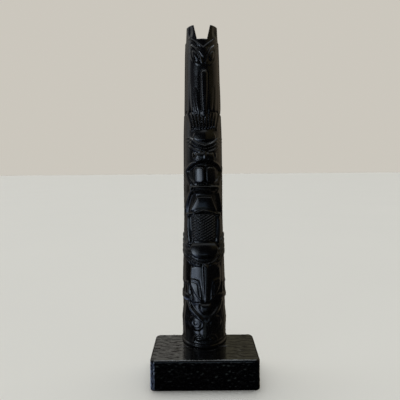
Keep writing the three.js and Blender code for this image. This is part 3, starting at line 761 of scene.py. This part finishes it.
def buildPole():
    f = poleForm
    u, share, offset, backY = poleColumns()
    columns, backs = len(u), len(share)
    inner, innerTip, outer, outerTip = f["ear"]
    side = np.abs(u)
    onEar = (side > inner) & (side < outer)
    pathZ, pathD = polePaths(np.concatenate([onEar, np.zeros(backs, bool)]))
    # an ear's two edges draw together as it climbs
    z = pathZ[:, :columns]
    climb = np.clip((z - f["headTop"]) / (f["earTop"] - f["headTop"]), 0, 1) * onEar
    tip = mix(innerTip, outerTip, (side - inner) / (outer - inner))
    flatU = np.sign(u) * mix(side, tip, climb)
    relief = Relief(flatU, z)
    for carve in (carveBird, carveBeaver, carveHawk, carveBear):
        carve(relief)
    relief.soften()
    carveScales(relief)
    # the ears' upright edges are rounded, and carving stops where the path turns in over the top
    soft = np.clip(1 - np.minimum(np.abs(side - inner), np.abs(outer - side)), 0, 1)
    above = smooth(z, f["headTop"] - 0.4, f["headTop"] + 0.6) * onEar
    relief.height -= (1 - np.sqrt(1 - soft ** 2)) * f["earEdge"] * above
    relief.height *= 1 - smooth(pathD[:, :columns], 0, 0.5)
    flare = f["footFlare"] * (smooth(z, 0, 0.6) * 0.35 + 0.65) * (1 - smooth(z, 1.4, 2.2))
    x, y = onSkin(flatU, z, relief.height + flare)
    backX = share * (x[:, -1:] - f["backCorner"]) + offset
    gridX = np.concatenate([x, backX], axis=1)
    gridY = np.concatenate([y, np.broadcast_to(backY, backX.shape)], axis=1)
    # over the top, the front moves straight back by d, and the rest draws in to the line behind the ears
    isFront = np.concatenate([side < outer + 0.1, np.zeros(backs, bool)])
    endX, endY = lineBehindEars(gridX[-1], gridY[-1], isFront, columns)
    back = pathD.max(axis=1, keepdims=True) / f["earThick"]
    gridX = np.where(isFront, gridX, mix(gridX, endX, back))
    gridY = np.where(isFront, gridY + pathD, mix(gridY, endY, back))
    grid = np.stack([gridX, gridY, pathZ + footHeight], axis=-1)
    # the foot and the top are closed by rings that shrink to a middle
    under, over = np.array([0, 11, footHeight]), np.array([0, 15, f["headTop"] + footHeight])
    footRings = [mix(grid[0], under, s) for s in (0.7, 0.3)]
    topRings = [mix(grid[-1], over, s) for s in (0.3, 0.6, 0.85)]
    grid = np.concatenate([footRings, grid, topRings])
    height = np.zeros(grid.shape[:2])
    height[len(footRings):-len(topRings), :columns] = relief.height
    piece = wrapped("pole", grid, {"relief": height, "edge": edgesOf(height)}, sharp=55)
    print("pole:", len(piece.data.polygons), "faces")
    return piece


baseForm = {
    "corner": 4.5,  # millimetres, as are all these
    "edge": 1.8,
    "spacing": 0.62,  # of the skin's rows and columns
    "dents": 0.1,  # depth of the hammered dents in the sides
    "dentLengths": (4.6, 2.6),
    "ripple": 0.075,  # height of the ripples in the top
    "rippleLength": 4.2,
    "calm": (19, 21),  # the ripples fade out between these distances from the middle, under the pole
}


# A sum of seeded waves of about one length: each adds a sine of the place along its own direction.
def waves(points, length, seed, count, stretch=(1, 1, 1)):
    rng = np.random.default_rng(seed)
    way = rng.normal(size=(count, 3))
    way *= 2 * np.pi / length / np.linalg.norm(way, axis=1, keepdims=True)
    way *= rng.uniform(0.6, 1.5, (count, 1))
    phase = rng.uniform(0, 2 * np.pi, count)
    total = np.sin((points * np.array(stretch)) @ way.T + phase).sum(axis=-1)
    return total / math.sqrt(count / 2)


# A rectangle with round corners, drawn in by an inset: four quarter circles, each followed by a
# straight run to the next. The number of places doesn't depend on the inset, so the rings match.
def roundedOutline(halfX, halfY, inset):
    corner, spacing = baseForm["corner"], baseForm["spacing"]
    r = max(corner - inset, 0.3)
    middleX, middleY = halfX - inset - r, halfY - inset - r
    turn = np.radians(np.linspace(0, 90, 11))
    arcs = []
    for k, (sideX, sideY) in enumerate([(1, -1), (1, 1), (-1, 1), (-1, -1)]):
        angle = turn + math.radians(90 * k - 90)
        x, y = sideX * middleX + r * np.cos(angle), sideY * middleY + r * np.sin(angle)
        arcs.append(np.stack([x, y], axis=-1))
    parts = []
    for k, arc in enumerate(arcs):
        run = 2 * ((halfY, halfX)[k % 2] - corner)
        share = np.linspace(0, 1, int(run / spacing) + 1)[1:-1, None]
        parts += [arc, mix(arc[-1], arcs[(k + 1) % 4][0], share)]
    return np.concatenate(parts)


# A rounded block: the outline is drawn in along a quarter circle at the top edge and then flat to
# the middle line, and the skin is dented and rippled by seeded waves.
def buildBase():
    f = baseForm
    width, depth, height = (baseHigh[k] / mm - baseLow[k] / mm for k in range(3))
    halfX, halfY, edge = width / 2, depth / 2, f["edge"]
    # the rings' insets and heights: the rounded foot, the side, the top edge and the rim of the top
    rings = [(0.6, 0.0), (0.25, 0.1), (0.06, 0.35)]
    rings += [(0.0, z) for z in np.arange(0.8, height - edge, f["spacing"])]
    bend = np.radians(np.linspace(0, 90, 8))
    rings += [(edge * (1 - math.cos(b)), height - edge * (1 - math.sin(b))) for b in bend]
    rings += [(edge + inwards, height) for inwards in (0.7, 1.5, 2.5)]
    lines = []
    for inset, z in rings:
        outline = roundedOutline(halfX, halfY, inset)
        lines.append(np.column_stack([outline, np.full(len(outline), z)]))
    rim = lines[-1]
    spine = rim * (1, 0, 1)
    spine[:, 0] = np.clip(spine[:, 0], halfY - halfX, halfX - halfY)
    lines += [mix(rim, spine, share) for share in np.linspace(0, 0.985, 34)[1:]]
    grid = np.array(lines)
    # dents: broad waves make the hammered cells, and they mostly go inwards
    broad, narrow = f["dentLengths"]
    cells = waves(grid, broad, 3, 22) + 0.7 * waves(grid, narrow, 5, 22)
    dents = f["dents"] * (np.tanh(cells) - 0.9) * 0.5
    ripples = f["ripple"] * (waves(grid, f["rippleLength"], 8, 20, (0.45, 1.6, 1)) - 1.2)
    level = grid[..., 2]
    onSide = smooth(level, 0.2, 1.6) * (1 - smooth(level, height - edge, height - 0.1))
    onTop = np.clip((level - height + 0.3) / 0.3, 0, 1)
    core = np.array([halfX, halfY]) - f["corner"]
    out = grid[..., :2] - np.clip(grid[..., :2], -core, core)
    out /= np.maximum(np.linalg.norm(out, axis=-1, keepdims=True), 1e-6)
    grid[..., :2] += out * (dents * onSide)[..., None]
    grid[..., 2] += ripples * onTop * mix(0.3, 1, smooth(np.abs(grid[..., 0]), *f["calm"]))
    grid[..., 2] += baseLow[2] / mm
    piece = wrapped("base_block", grid, {}, sharp=60)
    print("base:", len(piece.data.polygons), "faces")
    return piece


# Patterns' scales are in turns for each metre, and each bump is its strength and its distance.
poleFinish = {
    "black": (0.0011, 0.0011, 0.0014, 1),
    "worn": (0.0026, 0.0026, 0.0028, 1),
    "dust": (0.0040, 0.0037, 0.0032, 1),
    "roughness": 0.2,
    "rougher": {"cloud": 0.1, "dust": 0.16, "worn": 0.06, "rub": 0.05},
    "cloudScale": 70,
    "unevenScale": 200,
    "speckScale": 1400,
    "rubScale": (900, 900, 120),
    "bump": (0.10, 0.0005),
}


# Glossy black resin: clouds of slightly duller skin, a film of dust in the hollows, worn crests,
# fine rubbing marks and the slight unevenness of a casting.
def poleResin():
    f = poleFinish
    material, sheet = newMaterial("pole_resin")
    place = sheet.add("ShaderNodeTexCoord", out="Object")
    relief, edge = sheet.attribute("relief"), sheet.attribute("edge")
    cloud = sheet.noise(place, f["cloudScale"], 4)
    speck = sheet.noise(place, f["speckScale"], 2)
    rub = sheet.noise(sheet.stretched(place, f["rubScale"]), 1, 3)
    hollow = sheet.step(relief * -1, -0.1, 1.6)
    worn = sheet.step(edge + cloud * 0.3, 0.35, 0.9)
    dusty = hollow * sheet.step(cloud, 0.35, 0.7)
    colour = sheet.blend(sheet.step(cloud, 0.3, 0.75) * 0.5, f["black"], f["worn"])
    colour = sheet.blend(dusty * 0.7, colour, f["dust"])
    colour = sheet.blend(worn * 0.7, colour, f["worn"])
    more = f["rougher"]
    roughness = f["roughness"] + more["cloud"] * sheet.step(cloud, 0.3, 0.8) + more["dust"] * dusty
    roughness = roughness + more["worn"] * worn + more["rub"] * sheet.step(rub, 0.45, 0.75)
    uneven = sheet.noise(place, f["unevenScale"], 2) * 0.8 + speck * 0.04 + rub * 0.05
    strength, distance = f["bump"]
    bump = sheet.add("ShaderNodeBump", {}, {"Strength": strength, "Distance": distance, "Height": uneven})
    sockets = {"Base Color": colour, "Roughness": roughness, "Normal": bump, "IOR": 1.47}
    shader = sheet.add("ShaderNodeBsdfPrincipled", {}, sockets)
    sheet.add("ShaderNodeOutputMaterial", {}, {"Surface": shader})
    return material


baseFinish = {
    "black": (0.0010, 0.0010, 0.0013, 1),
    "dust": (0.0032, 0.0032, 0.0029, 1),
    "roughness": 0.09,
    "rougher": {"cloud": 0.05, "top": 0.02},
    "cloudScale": 60,
    "pebbleScale": 330,
    "streakScale": (170, 620, 400),
    "fineScale": 1500,
    "bump": (0.19, 0.0008),
}


# The same resin with a pebbled skin on its sides, and streaky ripples and dust on its top.
def baseResin():
    f = baseFinish
    material, sheet = newMaterial("base_resin")
    place = sheet.add("ShaderNodeTexCoord", out="Object")
    normal = sheet.add("ShaderNodeNewGeometry", out="Normal")
    upward = sheet.add("ShaderNodeSeparateXYZ", {}, {"Vector": normal}, out=2)
    onTop = sheet.step(upward, 0.6, 0.9)
    cloud = sheet.noise(place, f["cloudScale"], 4)
    sockets = {"Vector": place, "Scale": f["pebbleScale"], "Smoothness": 0.7}
    pebble = sheet.add("ShaderNodeTexVoronoi", {"feature": "SMOOTH_F1"}, sockets)
    streak = sheet.noise(sheet.stretched(place, f["streakScale"]), 1, 3, Distortion=1.2)
    fine = sheet.noise(place, f["fineScale"], 2)
    height = (1 - onTop) * sheet.step(pebble, 0.1, 0.75) * 0.9 + onTop * streak * 0.5 + fine * 0.04
    strength, distance = f["bump"]
    bump = sheet.add("ShaderNodeBump", {}, {"Strength": strength, "Distance": distance, "Height": height})
    dusty = onTop * sheet.step(cloud, 0.35, 0.75)
    colour = sheet.blend(dusty * 0.6, f["black"], f["dust"])
    more = f["rougher"]
    roughness = f["roughness"] + more["cloud"] * sheet.step(cloud, 0.3, 0.8) + more["top"] * onTop
    sockets = {"Base Color": colour, "Roughness": roughness, "Normal": bump, "IOR": 1.5}
    shader = sheet.add("ShaderNodeBsdfPrincipled", {}, sockets)
    sheet.add("ShaderNodeOutputMaterial", {}, {"Surface": shader})
    return material


studio = {
    "floorHalf": 20,  # metres
    "floor": (0.80, 0.762, 0.705, 1),
    "floorCloud": (0.62, 0.60, 0.56, 1),
    "backdrop": (0.60, 0.57, 0.51, 1),  # what the camera sees behind the object
    "room": (0.018, 0.018, 0.021, 1),  # what the gloss sees where nothing else is
    "ceiling": (4.6, 4.9, 5.1, 1),
    "ceilingEdge": (56, 68),  # the ceiling grows bright between these height angles
    # soft areas of light: azimuth from the front towards the right, height angle, softness and
    # colour, with each laid over the ones before it
    "patches": {
        "ceilingFront": ((-96, 96), (46, 100), 6, (0.6, 0.64, 0.67, 1)),
        "wallLeft": ((-142, -108), (-6, 24), 6, (0.42, 0.39, 0.35, 1)),
        "wallLeftLow": ((-142, -124), (-60, -6), 6, (0.34, 0.31, 0.28, 1)),
        "wallRight": ((84, 142), (0, 24), 6, (0.38, 0.31, 0.22, 1)),
        "wallRightLow": ((120, 142), (-60, 0), 6, (0.30, 0.25, 0.18, 1)),
        "edgeLeft": ((-190, -142), (-60, 20), 5, (0.09, 0.08, 0.07, 1)),
        "edgeRight": ((142, 190), (-60, 20), 5, (0.09, 0.08, 0.06, 1)),
        "topLeft": ((-190, -100), (23, 52), 3, (0.85, 0.83, 0.75, 1)),
        "topRight": ((100, 190), (23, 52), 3, (0.38, 0.35, 0.24, 1)),
        "dimLeft": ((-106, -54), (8, 30), 5, (0.12, 0.12, 0.15, 1)),
        "warmRight": ((38, 84), (15, 50), 5, (0.20, 0.165, 0.085, 1)),
        "table": ((-104, 104), (-95, -27), 3, (0.005, 0.005, 0.006, 1)),
        "dimMiddle": ((-24, 12), (-20, -3), 4, (0.31, 0.38, 0.37, 1)),
        "dimChest": ((-31, 14), (-8, -3), 3, (0.50, 0.74, 1.15, 1)),
        "sideWindow": ((-108, -90), (4, 42), 5, (0.9, 0.95, 1.0, 1)),
        "windowDim": ((-51, -31), (-30, -9), 4, (2.3, 2.8, 3.7, 1)),
        "windowSide": ((-42, -26), (-9, 8), 3, (1.9, 2.2, 2.6, 1)),
        "window": ((-50, -39), (-9, 11), 3, (5.6, 6.6, 7.8, 1)),
        "windowLow": ((-165, -24), (-40, -29), 3, (0.40, 0.52, 0.85, 1)),
    },
    "camera": (-2.65, -304.6, 174.0),  # millimetres
    "focal": 32.04,
    "roll": 0.5,  # degrees
    "shift": -0.0725,
}


def buildFloor():
    s = studio
    mesh = bpy.data.meshes.new("floor")
    h = s["floorHalf"]
    mesh.from_pydata([(-h, -h, 0), (h, -h, 0), (h, h, 0), (-h, h, 0)], [], [(0, 1, 2, 3)])
    floor = newObject("floor", mesh)
    material, sheet = newMaterial("floor_paint")
    place = sheet.add("ShaderNodeTexCoord", out="Object")
    shade = sheet.blend(sheet.noise(place, 3, 2) * 0.15, s["floor"], s["floorCloud"])
    shader = sheet.add("ShaderNodeBsdfPrincipled", {}, {"Base Color": shade, "Roughness": 0.8})
    sheet.add("ShaderNodeOutputMaterial", {}, {"Surface": shader})
    floor.data.materials.append(material)
    floor.visible_glossy = False  # the gloss mirrors the dim room instead


# The light comes from the room: its colour is worked out from each direction's azimuth, the arc
# tangent of x over -y, and its height angle, the arc sine of z.
def buildRoom():
    s = studio
    world = bpy.data.worlds.new("room")
    world.use_nodes = True
    bpy.context.scene.world = world
    sheet = Sheet(world.node_tree)
    way = sheet.add("ShaderNodeTexCoord", out="Generated")
    x, y, z = (sheet.add("ShaderNodeSeparateXYZ", {}, {"Vector": way}, out=k) for k in range(3))
    turn = x.run("ARCTAN2", x, y * -1) * (180 / math.pi)
    rise = z.run("ARCSINE", z) * (180 / math.pi)
    colour = sheet.blend(sheet.step(rise, *s["ceilingEdge"]), s["room"], s["ceiling"])
    for turns, rises, soft, glow in s["patches"].values():
        share = sheet.within(turn, *turns, soft) * sheet.within(rise, *rises, soft)
        colour = sheet.blend(share, colour, glow)
    seen = sheet.add("ShaderNodeLightPath", out="Is Camera Ray")
    colour = sheet.blend(seen, colour, s["backdrop"])
    light = sheet.add("ShaderNodeBackground", {}, {"Color": colour})
    sheet.add("ShaderNodeOutputWorld", {}, {"Surface": light})


def buildCamera():
    s = studio
    lens = bpy.data.cameras.new("camera")
    lens.sensor_width, lens.lens, lens.shift_y = 36.0, s["focal"], s["shift"]
    lens.clip_start, lens.clip_end = 0.01, 60
    camera = newObject("camera", lens)
    camera.location = [v * mm for v in s["camera"]]
    camera.rotation_euler = (math.radians(90), math.radians(s["roll"]), 0)
    bpy.context.scene.camera = camera
    bpy.context.scene.view_settings.view_transform = "Standard"
    print("camera ready")


buildCamera()
pole = buildPole()
pole.data.materials.append(poleResin())
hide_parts("totem_pole")
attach(pole, "root")

block = buildBase()
block.data.materials.append(baseResin())
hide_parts("base")
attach(block, "root")

buildFloor()
buildRoom()
print("floor and light ready")
